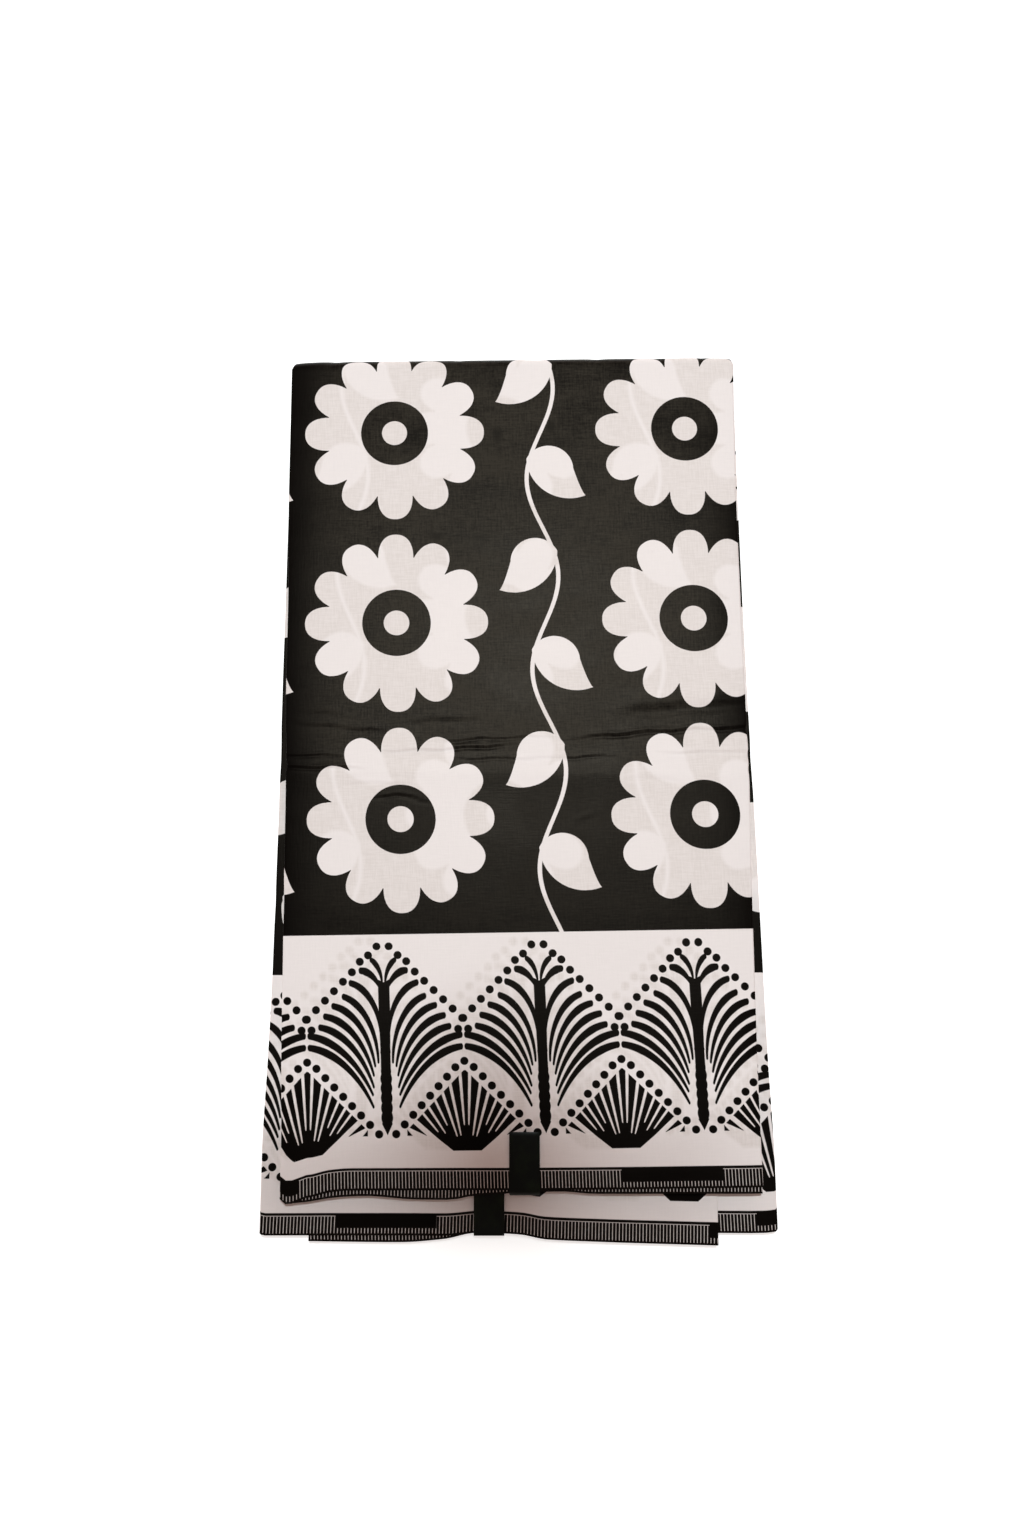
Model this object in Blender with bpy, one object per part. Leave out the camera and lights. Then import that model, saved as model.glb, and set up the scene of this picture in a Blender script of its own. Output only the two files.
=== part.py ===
"""A six-yard length of printed cotton, pleated into leaves, folded once across and lying flat.

Metres, +Z up. The origin is under the middle of the bundle, on the surface that it lies on.
+X runs along the cloth's length, from the left side folds to the right ones, and +Y points away
from the selvedges, towards the thick fold across the middle of the cloth's width.

The bundle is one stack of leaves bent over at the thick fold. A place in it is given by where it
lies along that bend (an upper run, the bend, a lower run), across it, and by its rise, which is
the distance from the plane between the two halves.
"""

import math
from collections import namedtuple

import bmesh
import bpy

# Heights in the stack. Rise is measured up or down from the plane between the halves.
HALF_HEIGHT = 0.008
CLEARANCE = 0.0003
OUTER_WALL = 0.0012
LEAF_WALL = 0.0010
INNER_RISE = CLEARANCE / 2
CORE_LAYERS = 5
EDGE_ROUNDING = 0.05
FOLD_LOFT = 0.06
LOFT_REACH = 0.10
END_SETTLING = 0.02
SETTLING_REACH = 0.08

# How a leaf's thickness is rounded where it turns or ends, and how far the hidden ones stay back
STEPS_PER_LAYER = 4
LAYER_BULGE = 0.0005
CORE_SETBACK = 0.0008
CORNER_ROUNDING = 0.0028

Side = namedtuple("Side", "y left right")
End = namedtuple("End", "x y")
Crease = namedtuple("Crease", "y depth half_width")

# Side edges of the two halves: the x of the left and right ones at each y
UPPER_SIDES = (
    Side(-0.270, -0.1527, 0.1555),
    Side(-0.232, -0.1530, 0.1548),
    Side(-0.179, -0.1545, 0.1541),
    Side(-0.126, -0.1551, 0.1540),
    Side(-0.078, -0.1558, 0.1539),
    Side(-0.006, -0.1566, 0.1545),
    Side(0.060, -0.1582, 0.1532),
    Side(0.128, -0.1586, 0.1520),
    Side(0.196, -0.1602, 0.1512),
    Side(0.294, -0.1606, 0.1518),
)
LOWER_SIDES = (
    Side(-0.292, -0.1653, 0.1655),
    Side(-0.244, -0.1652, 0.1648),
    Side(-0.184, -0.1637, 0.1625),
    Side(-0.127, -0.1629, 0.1611),
    Side(-0.081, -0.1625, 0.1600),
    Side(-0.006, -0.1618, 0.1581),
    Side(0.060, -0.1618, 0.1562),
    Side(0.128, -0.1614, 0.1547),
    Side(0.294, -0.1610, 0.1526),
)

# Where each leaf ends at its selvedge: the y of its edge at each x
OUTER_END = (
    End(-0.1527, -0.2728),
    End(-0.1472, -0.2764),
    End(-0.1406, -0.2716),
    End(-0.1335, -0.2706),
    End(-0.1218, -0.2672),
    End(0.0180, -0.2670),
    End(0.1548, -0.2655),
)
SECOND_END = (
    End(-0.1520, -0.2710),
    End(-0.1430, -0.2756),
    End(-0.1337, -0.2742),
    End(-0.1160, -0.2716),
    End(-0.0980, -0.2708),
    End(-0.0656, -0.2730),
    End(-0.0450, -0.2732),
    End(-0.0280, -0.2705),
    End(0.0280, -0.2681),
    End(0.0477, -0.2695),
    End(0.1537, -0.2695),
)
UPPER_CORE_END = (End(-0.1527, -0.2690), End(-0.1200, -0.2655), End(0.1548, -0.2650))
UNDERSIDE_END = (End(-0.1655, -0.2935), End(0.1650, -0.2905))
LOWER_CORE_END = (
    End(-0.1655, -0.2930),
    End(-0.1350, -0.2950),
    End(-0.0600, -0.2948),
    End(-0.0250, -0.2920),
    End(0.0170, -0.2945),
    End(0.1180, -0.2968),
    End(0.1360, -0.2914),
    End(0.1650, -0.2900),
)
INNER_END = (
    End(-0.1651, -0.2950),
    End(-0.1189, -0.2954),
    End(-0.0766, -0.2962),
    End(-0.0478, -0.2964),
    End(-0.0247, -0.2946),
    End(0.0003, -0.2957),
    End(0.0170, -0.2987),
    End(0.0516, -0.3002),
    End(0.1271, -0.3025),
)
INNER_UNDER_END = (
    End(-0.1350, -0.3000),
    End(-0.0766, -0.3006),
    End(-0.0478, -0.2986),
    End(-0.0300, -0.2950),
    End(0.0003, -0.2935),
    End(0.1530, -0.2936),
    End(0.1655, -0.2920),
)
INNER_CUT_X = 0.1271
INNER_UNDER_CUT_X = -0.1350
# How far each hidden layer stops short of the ends above, from the outermost layer inwards
CORE_STEPS = (0.0008, 0.0, 0.0012, 0.0004, 0.0010)

# Outermost line of the thick fold
FOLD_LINE = (End(-0.1610, 0.2985), End(0.1526, 0.3023))

# Shallow creases pressed across the upper half, each as deep as a share of the stack's rise
CREASES = (
    Crease(0.020, 0.045, 0.006),
    Crease(-0.004, 0.025, 0.005),
)

# Cells near a leaf's side folds, as shares of its width. The others follow the ends' tables.
EDGE_SHARES = (0.0, 0.012, 0.045, 0.955, 0.988, 1.0)
ROUNDED_SHARE = EDGE_SHARES[2]
CLOSEST_SHARES = 0.008
# Cells along each run, as shares from its end to the thick fold. The upper ones add the creases.
ALONG_UPPER = (0.0, 0.02, 0.10, 0.25, 0.40, 0.60, 0.75, 0.90, 1.0)
ALONG_LOWER = (0.0, 0.02, 0.10, 0.25, 0.45, 0.65, 0.85, 1.0)
BEND_STEPS = 8

# The two foil labels stuck on the selvedges, each folded over its leaf's edge by a short lip
LABEL_THICKNESS = 0.0006
LABEL_WIDTH = 0.0196
LABEL_CELLS = 2
UPPER_LABEL_X = 0.0032
UPPER_LABEL_TOP = -0.2313
LOWER_LABEL_X = -0.0195
LOWER_LABEL_TOP = -0.2668
LABEL_LIP = 0.0009
LABEL_LIP_STEPS = 3

CLOTH_COLOUR = (0.55, 0.50, 0.46, 1.0)
DARK_CLOTH_COLOUR = (0.030, 0.027, 0.024, 1.0)
LABEL_COLOUR = (0.010, 0.022, 0.012, 1.0)
CLOTH_ROUGHNESS = 0.62
LABEL_ROUGHNESS = 0.28


def mix(start, end, share):
    return start + (end - start) * share


def along_table(rows, value, column="y"):
    """A column of a table, read between its rows by the first column."""
    value = min(max(value, rows[0][0]), rows[-1][0])
    for before, after in zip(rows, rows[1:]):
        if value <= after[0]:
            share = (value - before[0]) / (after[0] - before[0])
            return mix(getattr(before, column), getattr(after, column), share)
    return getattr(rows[-1], column)


def fold_centre(x):
    return along_table(FOLD_LINE, x) - HALF_HEIGHT


def crease_depth(y):
    """Share of the rise that the creases take away at this y."""
    depth = 0.0
    for crease in CREASES:
        reach = min(1.0, abs(y - crease.y) / crease.half_width)
        depth += crease.depth * (0.5 + 0.5 * math.cos(math.pi * reach))
    return depth


def upper_shares():
    """Cells along the upper run: the even ones, and three across each crease."""
    first, last = UPPER_SIDES[0].y, UPPER_SIDES[-1].y
    places = [c.y + side * c.half_width for c in CREASES for side in (-1, 0, 1)]
    return sorted([*ALONG_UPPER, *((y - first) / (last - first) for y in places)])


def upper_loft(y):
    """The upper half stands a little higher at the fold and lies lower at the selvedge."""
    from_fold = max(0.0, 1.0 - (FOLD_LINE[0].y - y) / LOFT_REACH)
    from_end = max(0.0, 1.0 - (y - UPPER_SIDES[0].y) / SETTLING_REACH)
    return 1.0 + FOLD_LOFT * from_fold**2 - END_SETTLING * from_end - crease_depth(y)


def edge_settling(share):
    """A stack is slightly thinner where it rounds off, right at its side folds."""
    to_edge = min(share, 1.0 - share)
    return 1.0 - EDGE_ROUNDING * max(0.0, 1.0 - to_edge / ROUNDED_SHARE) ** 2


class Stretch:
    """A stretch of the bent stack: where its stations lie, and which ends and sides bound it."""

    def __init__(self, upper_end=None, lower_end=None, left=None, right=None, setback=0.0):
        self.upper_end = upper_end
        self.lower_end = lower_end
        self.left = left
        self.right = right
        self.setback = setback
        self.stations = []
        if upper_end:
            self.stations += [("upper", share) for share in upper_shares()]
            self.stations += [("bend", math.pi * step / BEND_STEPS) for step in range(1, BEND_STEPS)]
            self.stations += [("lower", share) for share in reversed(ALONG_LOWER)]
        else:
            self.stations += [("lower", share) for share in ALONG_LOWER]
        self.across = self.cells_across()

    def cells_across(self):
        """Shares of the width for the cells: near the folds, and at each corner of an end's line."""
        shares = list(EDGE_SHARES)
        for run, end in (("upper", self.upper_end), ("lower", self.lower_end)):
            left, right = self.sides(run, 0.0)
            for row in end or ():
                corner = (row.x - left) / (right - left)
                if 0 < corner < 1 and min(abs(corner - share) for share in shares) > CLOSEST_SHARES:
                    shares.append(corner)
        return sorted(shares)

    def sides(self, run, where):
        """Left and right x of the stretch at one station."""
        if run == "bend":
            turned = where / math.pi
            left = mix(UPPER_SIDES[-1].left, LOWER_SIDES[-1].left, turned)
            right = mix(UPPER_SIDES[-1].right, LOWER_SIDES[-1].right, turned)
            inset = CORNER_ROUNDING * math.sin(where)
        else:
            rows = UPPER_SIDES if run == "upper" else LOWER_SIDES
            y = mix(rows[0].y, rows[-1].y, where)
            left = along_table(rows, y, "left")
            right = along_table(rows, y, "right")
            inset = 0.0
        left = self.left if self.left is not None else left + self.setback + inset
        right = self.right if self.right is not None else right - self.setback - inset
        return left, right

    def place(self, station, share, rise, side_inset=0.0, end_inset=0.0):
        """World place of a point of the stack, by station, share across and rise."""
        run, where = self.stations[station]
        left, right = self.sides(run, where)
        x = mix(left, right, share)
        x += side_inset if share == 0.0 else -side_inset if share == 1.0 else 0.0
        rise = rise * edge_settling(share) if self.upper_end else rise
        centre = fold_centre(x)
        if run == "bend":
            loft = 1.0 + FOLD_LOFT * math.cos(where / 2) ** 2
            return (
                x,
                centre + rise * math.sin(where),
                HALF_HEIGHT + rise * loft * math.cos(where),
            )
        end = along_table(self.upper_end if run == "upper" else self.lower_end, x)
        y = mix(end + end_inset * (where == 0.0), centre, where)
        if run == "upper":
            return x, y, HALF_HEIGHT + rise * upper_loft(y)
        return x, y, HALF_HEIGHT - rise


def bulge_inset(step):
    """How far one step of a leaf's rounded edge lies behind its outermost line."""
    turn = (step % STEPS_PER_LAYER) / STEPS_PER_LAYER
    return LAYER_BULGE * (1.0 - math.sin(math.pi * turn))


def new_object(name, mesh, colour, roughness):
    material = bpy.data.materials.new(name + "_finish")
    material.use_nodes = True
    shader = material.node_tree.nodes["Principled BSDF"]
    shader.inputs["Base Color"].default_value = colour
    shader.inputs["Roughness"].default_value = roughness
    shader.inputs["Metallic"].default_value = 0.0
    material.diffuse_color = colour
    mesh.materials.append(material)
    made = bpy.data.objects.new(name, mesh)
    bpy.context.collection.objects.link(made)
    return made


def closed_block(name, counts, point, colour, roughness):
    """Skin of a block of across × through × along cells. point(i, k, j) places each outer corner."""
    across, through, along = counts
    shell = bmesh.new()
    corners = {}

    def face(*places):
        for place in places:
            if place not in corners:
                corners[place] = shell.verts.new(point(*place))
        shell.faces.new([corners[place] for place in places])

    for i in range(across):
        for j in range(along):
            for k in (0, through):
                face((i, k, j), (i + 1, k, j), (i + 1, k, j + 1), (i, k, j + 1))
    for k in range(through):
        for j in range(along):
            for i in (0, across):
                face((i, k, j), (i, k + 1, j), (i, k + 1, j + 1), (i, k, j + 1))
        for i in range(across):
            for j in (0, along):
                face((i, k, j), (i + 1, k, j), (i + 1, k + 1, j), (i, k + 1, j))
    bmesh.ops.recalc_face_normals(shell, faces=shell.faces)
    mesh = bpy.data.meshes.new(name)
    shell.to_mesh(mesh)
    shell.free()
    mesh.shade_smooth()
    mesh.set_sharp_from_angle(angle=math.radians(40))
    return new_object(name, mesh, colour, roughness)


def stack_piece(name, stretch, inner_rise, layer, layers=1, steps=(0.0,), colour=CLOTH_COLOUR):
    """One leaf, or several that share a solid, following a stretch of the bent stack.

    Each layer's side folds and selvedge are rounded, and the layers of a shared solid stop at
    different places, so that they show as layers at every edge.
    """
    through = STEPS_PER_LAYER * layers
    last_station = len(stretch.stations) - 1

    def point(i, k, j):
        rise = inner_rise + layer * layers * k / through
        edge = bulge_inset(k)
        level = min(k // STEPS_PER_LAYER, layers - 1)
        short = steps[level] if k % STEPS_PER_LAYER else max(steps[max(level - 1, 0)], steps[level])
        at_end = j in (0, last_station)
        return stretch.place(j, stretch.across[i], rise, edge, (edge + short) * at_end)

    counts = (len(stretch.across) - 1, through, last_station)
    return closed_block(name, counts, point, colour, CLOTH_ROUGHNESS)


def label_plate(name, centre_x, top_y, end, surface):
    """A thin label lying on a leaf whose selvedge and height are given, and folded over its edge."""
    flat_steps = LABEL_CELLS * 2

    def station(x, j):
        """The leaf's y there, the drop past its edge, and the way that the label faces."""
        edge_y = along_table(end, x)
        if j <= flat_steps:
            return mix(top_y, edge_y, j / flat_steps), 0.0, math.pi / 2
        turned = min(1.0, (j - flat_steps) / LABEL_LIP_STEPS)
        drop = LABEL_LIP * (j > flat_steps + LABEL_LIP_STEPS)
        return edge_y, drop, math.pi / 2 * (1.0 - turned)

    def point(i, k, j):
        x = centre_x + LABEL_WIDTH * (i / LABEL_CELLS - 0.5)
        y, drop, facing = station(x, j)
        reach = CLEARANCE + LABEL_THICKNESS * k
        return x, y - reach * math.cos(facing), surface(y) - drop + reach * math.sin(facing)

    counts = (LABEL_CELLS, 1, flat_steps + LABEL_LIP_STEPS + 1)
    return closed_block(name, counts, point, LABEL_COLOUR, LABEL_ROUGHNESS)


def clear_scene():
    for old in list(bpy.data.objects):
        bpy.data.objects.remove(old)


def main():
    clear_scene()

    outer_inner_rise = HALF_HEIGHT - OUTER_WALL
    second_inner_rise = outer_inner_rise - CLEARANCE - LEAF_WALL
    inner_outer_rise = INNER_RISE + LEAF_WALL
    core_inner_rise = inner_outer_rise + CLEARANCE
    core_layer = (second_inner_rise - CLEARANCE - core_inner_rise) / CORE_LAYERS

    outer = Stretch(OUTER_END, UNDERSIDE_END)
    second = Stretch(SECOND_END, UNDERSIDE_END, setback=CORE_SETBACK / 2)
    core = Stretch(UPPER_CORE_END, LOWER_CORE_END, setback=CORE_SETBACK)
    inner = Stretch(lower_end=INNER_END, right=INNER_CUT_X)
    inner_under = Stretch(lower_end=INNER_UNDER_END, left=INNER_UNDER_CUT_X)

    stack_piece("outer_leaf", outer, outer_inner_rise, OUTER_WALL, colour=DARK_CLOTH_COLOUR)
    stack_piece("second_leaf", second, second_inner_rise, LEAF_WALL)
    stack_piece("folded_layers", core, core_inner_rise, core_layer, CORE_LAYERS, CORE_STEPS)
    stack_piece("inner_leaf", inner, -inner_outer_rise, LEAF_WALL)
    stack_piece("inner_under_leaf", inner_under, INNER_RISE, LEAF_WALL)

    def upper_surface(y):
        return HALF_HEIGHT + HALF_HEIGHT * upper_loft(y)

    def inner_surface(_):
        return HALF_HEIGHT + inner_outer_rise

    label_plate("upper_label", UPPER_LABEL_X, UPPER_LABEL_TOP, OUTER_END, upper_surface)
    label_plate("lower_label", LOWER_LABEL_X, LOWER_LABEL_TOP, INNER_END, inner_surface)


main()
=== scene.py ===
# A length of wax-printed cotton, pleated into leaves and folded once across, lying flat on a pale floor.
# Lengths are in metres, except in the print, which is drawn in millimetres of flat cloth.
import math

import bpy
import numpy as np
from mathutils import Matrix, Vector


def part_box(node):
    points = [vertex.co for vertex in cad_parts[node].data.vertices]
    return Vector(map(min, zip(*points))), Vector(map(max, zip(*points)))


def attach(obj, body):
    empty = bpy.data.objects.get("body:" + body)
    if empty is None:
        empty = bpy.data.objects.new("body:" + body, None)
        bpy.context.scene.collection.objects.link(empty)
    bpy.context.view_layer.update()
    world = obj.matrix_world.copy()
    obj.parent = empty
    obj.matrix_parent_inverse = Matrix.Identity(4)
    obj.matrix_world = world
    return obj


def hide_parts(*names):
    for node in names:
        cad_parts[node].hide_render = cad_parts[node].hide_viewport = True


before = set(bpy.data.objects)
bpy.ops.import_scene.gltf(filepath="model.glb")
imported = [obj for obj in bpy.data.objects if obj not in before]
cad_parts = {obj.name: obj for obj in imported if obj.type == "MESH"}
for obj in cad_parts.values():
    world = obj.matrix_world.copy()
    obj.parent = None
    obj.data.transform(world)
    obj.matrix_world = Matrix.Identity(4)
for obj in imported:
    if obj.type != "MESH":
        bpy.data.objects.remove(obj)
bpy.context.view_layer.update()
bpy.ops.object.select_all(action="DESELECT")
print("Frame loaded:", ", ".join(sorted(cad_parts)))


# Small helpers

def hexToLinear(hexValue):
    channels = [int(hexValue[start:start + 2], 16) / 255 for start in (1, 3, 5)]
    return (*(c / 12.92 if c <= 0.04045 else ((c + 0.055) / 1.055) ** 2.4 for c in channels), 1.0)


# Each setting of a node is a value, or a socket that is linked to it
def setNode(node, settings):
    for name, value in settings.items():
        if isinstance(value, bpy.types.NodeSocket):
            node.id_data.links.new(value, node.inputs[name])
        elif isinstance(name, int) or name in node.inputs:
            node.inputs[name].default_value = value
        else:
            setattr(node, name, value)
    return node


def addNode(tree, kind, settings):
    return setNode(tree.nodes.new("ShaderNode" + kind), settings)


def newMaterial(name):
    material = bpy.data.materials.new(name)
    material.use_nodes = True
    return material, material.node_tree.nodes["Principled BSDF"]


# A formula is a name, a number, or (operation, term, term ...). Each different one becomes one node.
shortOperations = {"-": "SUBTRACT", "*": "MULTIPLY", "/": "DIVIDE", "*+": "MULTIPLY_ADD"}


def addFormula(tree, known, formula):
    if isinstance(formula, (int, float)):
        return formula
    if formula not in known:
        operation, *terms = formula
        terms = [addFormula(tree, known, term) for term in terms]
        settings = {"operation": shortOperations.get(operation, operation), **dict(enumerate(terms))}
        known[formula] = addNode(tree, "Math", settings).outputs[0]
    return known[formula]


def allOf(first, *others):  # inside every shape: the largest distance
    for other in others:
        first = ("MAXIMUM", first, other)
    return first


def anyOf(first, *others):  # inside one of the shapes: the smallest distance
    for other in others:
        first = ("MINIMUM", first, other)
    return first


def outside(shape):
    return ("*", shape, -1.0)


def farFrom(across, up):
    return ("SQRT", ("*+", across, across, ("*", up, up)))


def disc(across, up, centreAcross, centreUp, radius):
    return ("-", farFrom(("-", across, centreAcross), ("-", up, centreUp)), radius)


def bandAround(value, centre, halfWidth):
    return ("-", ("ABSOLUTE", ("-", value, centre)), halfWidth)


def repeated(value, centre, pitch):
    return ("WRAP", ("-", value, centre), pitch / 2, -pitch / 2)


def clamped(value, low, high):
    return ("MINIMUM", ("MAXIMUM", value, low), high)


def nearestStep(value, first, pitch, last):  # number of the nearest step in a row, from 0 to the last one
    return clamped(("ROUND", ("/", ("-", value, first), pitch)), 0.0, last)


def pastStep(value, first, pitch, step):  # how far a place is past its step
    return ("-", ("-", value, first), ("*", step, pitch))


def between(value, low, lowValue, high, highValue):  # straight from one point to the other, level past them
    line = ("*+", ("-", value, low), (highValue - lowValue) / (high - low), lowValue)
    return clamped(line, min(lowValue, highValue), max(lowValue, highValue))


# Camera, at the photograph's angle: nearly straight above, tilted a little from the selvedge end

camera = {
    "target": (-0.0048, 0.005, 0.016),
    "tilt": math.radians(9),
    "distance": 0.8335,
    "focalPixels": 1242,
    "framePixels": 1536,
    "sensor": 36.0,
}


def addCamera():
    aim, tilt, far = camera["target"], camera["tilt"], camera["distance"]
    place = (aim[0], aim[1] - far * math.sin(tilt), aim[2] + far * math.cos(tilt))
    bpy.ops.object.camera_add(location=place, rotation=(tilt, 0, 0))
    made = bpy.context.object
    made.data.sensor_fit = "VERTICAL"
    made.data.sensor_height = camera["sensor"]
    made.data.lens = camera["sensor"] * camera["focalPixels"] / camera["framePixels"]
    made.data.clip_start = 0.01
    bpy.context.scene.camera = made


addCamera()
print("Camera placed")


# The folded stack. Rise is the distance up or down from the plane between its two halves.

stack = {
    "clothWidth": 1.17,  # from selvedge to selvedge
    "foldLoft": 0.06,  # how much thicker the upper half is at the thick fold, as a share
    "loftReach": 0.10,
    "endSettling": 0.02,
    "settlingReach": 0.08,
    "edgeRounding": 0.12,  # how much thinner a stack is right at its side folds, as a share
    "roundedShare": 0.055,
    "cornerRounding": 0.0028,
    "droopReach": 0.075,  # how far from a selvedge its own unevenness has died out
    "levelReach": 0.03,  # how far from the thick fold the creases have died out
    "liftReach": 0.035,
    "creaseEnds": 4,  # a crease fades out over one part in this many of its length, at each end
    "creaseLip": (0.55, 1.9, 1.3),  # the swelling beside a crease of size 1: height, place, half width
    "creaseWander": (0.0006, 0.0003),  # in long waves and in short ones
    "cockle": (0.0001, 0.00006),  # the leaves' own unevenness
    "undersideCreasing": 0.2,  # how much of the top's creases shows below
    "innerCreasing": 0.3,
    "innerCreaseShift": 0.05,
    "sagReach": 0.05,
    "sagUnevenness": 0.35,
    "cutSteepness": 14,
    "dentWander": 0.004,
    "bendSteps": 26,
}
halfHeight = (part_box("inner_leaf")[0].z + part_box("inner_under_leaf")[1].z) / 2

# y, left x and right x of the side folds, for the two halves
upperSides = (
    (-0.27, -0.1527, 0.1555), (-0.232, -0.153, 0.1548), (-0.179, -0.1545, 0.1541),
    (-0.126, -0.1551, 0.154), (-0.078, -0.1558, 0.1539), (-0.006, -0.1566, 0.1545),
    (0.06, -0.1582, 0.1532), (0.128, -0.1586, 0.152), (0.196, -0.1602, 0.1512),
    (0.294, -0.1606, 0.1518),
)
lowerSides = (
    (-0.292, -0.1664, 0.1655), (-0.244, -0.1663, 0.1648), (-0.184, -0.1643, 0.1625),
    (-0.127, -0.1629, 0.1611), (-0.081, -0.1625, 0.16), (-0.006, -0.1618, 0.1581),
    (0.06, -0.1618, 0.1562), (0.128, -0.1614, 0.1547), (0.294, -0.161, 0.1526),
)
foldLine = ((-0.161, 0.2985), (0.1526, 0.3023))  # x and y of the thick fold's outermost line

# Creases pressed into the leaves: from x and y, to x and y, how far each bows, its depth and half width
creases = (
    (-0.104, 0.0157, 0.004, 0.0213, -0.0012, 0.00062, 0.001),
    (-0.062, 0.0222, 0.03, 0.0262, 0.0006, 0.0004, 0.0009),
    (0.026, 0.0232, 0.185, 0.0325, 0.002, 0.0006, 0.0013),
    (-0.052, 0.0108, 0.072, 0.013, -0.0008, 0.00028, 0.001),
    (-0.19, 0.0036, -0.098, 0.0043, 0.0008, 0.0007, 0.001),
    (-0.185, 0.0128, -0.112, 0.0123, 0.0006, 0.00042, 0.0009),
    (-0.15, 0.039, -0.12, 0.042, 0.001, 0.00018, 0.002),
    (-0.078, 0.0335, -0.022, 0.037, 0.0014, 0.00022, 0.0024),
    (0.06, 0.04, 0.195, 0.049, 0.0022, 0.00068, 0.0044),
    (-0.122, -0.0055, -0.068, -0.0053, -0.0005, 0.00024, 0.0011),
    (0.086, 0.0151, 0.185, 0.0172, -0.0006, 0.00042, 0.001),
    (0.07, -0.0015, 0.12, -0.007, 0.001, 0.00018, 0.0022),
    (-0.1, -0.0165, -0.058, -0.02, 0.004, 0.00036, 0.0011),
    (0.03, -0.0395, 0.052, -0.027, 0.0012, 0.00016, 0.0014),
    (-0.156, 0.0358, -0.088, 0.0296, -0.001, 0.00028, 0.0016),
)
# Low roofs where the leaf was once folded: y of the ridge, its slope across, the roof's slope, how round
# its top is, and its reach
roofs = (
    (0.0015, -0.01, 0.036, 0.0012, 0.026),
    (0.07, 0.015, 0.01, 0.006, 0.04),
    (-0.09, -0.02, 0.008, 0.007, 0.04),
)
# Dents round the thick fold: x, depth and half width
foldDents = (
    (-0.131, 0.00045, 0.004), (-0.088, 0.00025, 0.007), (-0.041, 0.0004, 0.0035),
    (0.012, 0.0003, 0.006), (0.058, 0.00045, 0.0045), (0.094, 0.00022, 0.008),
    (0.133, 0.0004, 0.0038),
)
# Where the side edges draw in beside the creases: y, how far, half width
edgeNotches = {
    "left": ((0.0075, 0.0009, 0.0035), (0.02, 0.0004, 0.006), (-0.085, 0.0003, 0.01)),
    "right": ((0.029, 0.0007, 0.004), (0.012, 0.0005, 0.003), (0.002, 0.0004, 0.004)),
}


# A smooth line through a table's rows, as many close points that numpy reads between.
# It is level wherever the table turns back, so it never swings past a row.
def smoothLine(rows, column=1, pieces=24):
    rows = np.array(rows)
    places, values = rows[:, 0], rows[:, column]
    grades = np.diff(values) / np.diff(places)
    product, total = grades[:-1] * grades[1:], grades[:-1] + grades[1:]
    turns = product <= 0
    within = np.where(turns, 0, 2 * product / np.where(turns, 1, total))
    slopes = np.concatenate([grades[:1], within, grades[-1:]])
    spans = np.diff(places)[:, None]
    t = np.linspace(0, 1, pieces, endpoint=False)
    dense = (
        (1 + 2 * t) * (1 - t) ** 2 * values[:-1, None]
        + t * (1 - t) ** 2 * spans * slopes[:-1, None]
        + t * t * (3 - 2 * t) * values[1:, None]
        - t * t * (1 - t) * spans * slopes[1:, None]
    )
    return np.append(places[:-1, None] + spans * t, places[-1]), np.append(dense, values[-1])


def readLine(line, at):
    return np.interp(at, *line)


sideLines = {
    "upper": (smoothLine(upperSides, 1), smoothLine(upperSides, 2)),
    "lower": (smoothLine(lowerSides, 1), smoothLine(lowerSides, 2)),
}
foldEdge = smoothLine(foldLine)


def softened(share):  # 0 to 1, level at both ends
    share = np.clip(share, 0, 1)
    return share * share * (3 - 2 * share)


def loft(y):
    fromFold = np.clip(1 - (foldLine[0][1] - y) / stack["loftReach"], 0, 1)
    fromEnd = np.clip(1 - (y - upperSides[0][0]) / stack["settlingReach"], 0, 1)
    return 1 + stack["foldLoft"] * fromFold**2 - stack["endSettling"] * fromEnd


def settling(share):
    toEdge = np.minimum(share, 1 - share)
    return 1 - stack["edgeRounding"] * np.clip(1 - toEdge / stack["roundedShare"], 0, 1) ** 2


def endWave(x):  # how far a loose selvedge stands up, from 0 to 1, unevenly along it
    return 0.5 + 0.3 * np.sin(x * 33 + 0.6) + 0.2 * np.sin(x * 81 + 2.1)


def edgeNotch(side, y):
    return sum(depth * np.exp(-((y - at) / half) ** 2) for at, depth, half in edgeNotches[side])


# The numbers inside its sines only keep the waves out of step
def creaseHeight(x, y):
    height = np.zeros_like(x)
    ends, wander, cockle = stack["creaseEnds"], stack["creaseWander"], stack["cockle"]
    lip, lipPlace, lipWidth = stack["creaseLip"]
    for fromX, fromY, toX, toY, bow, depth, halfWidth in creases:
        t = (x - fromX) / (toX - fromX)
        fade = softened(ends * t) * softened(ends * (1 - t))
        waver = wander[0] * np.sin(x * 190 + fromX * 400) + wander[1] * np.sin(x * 610 + depth * 90000)
        middle = fromY + (toY - fromY) * t + bow * np.sin(math.pi * np.clip(t, 0, 1)) + waver
        off = (y - middle) / halfWidth
        height -= depth * fade * np.exp(-off * off)
        height += lip * depth * fade * np.exp(-((off - lipPlace) / lipWidth) ** 2)
    for ridgeY, slant, grade, roundness, reach in roofs:
        off = y - ridgeY - slant * x
        height -= grade * (np.hypot(off, roundness) - roundness) * np.exp(-((off / reach) ** 2))
    height += cockle[0] * np.sin(x * 41 + 1.3 * np.sin(y * 23)) * np.sin(y * 31 + 0.7)
    height += cockle[1] * np.sin(x * 97 + y * 29) * np.sin(y * 71 - x * 17 + 2.0)
    return height * softened((foldLine[0][1] - halfHeight - y) / stack["levelReach"])


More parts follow.
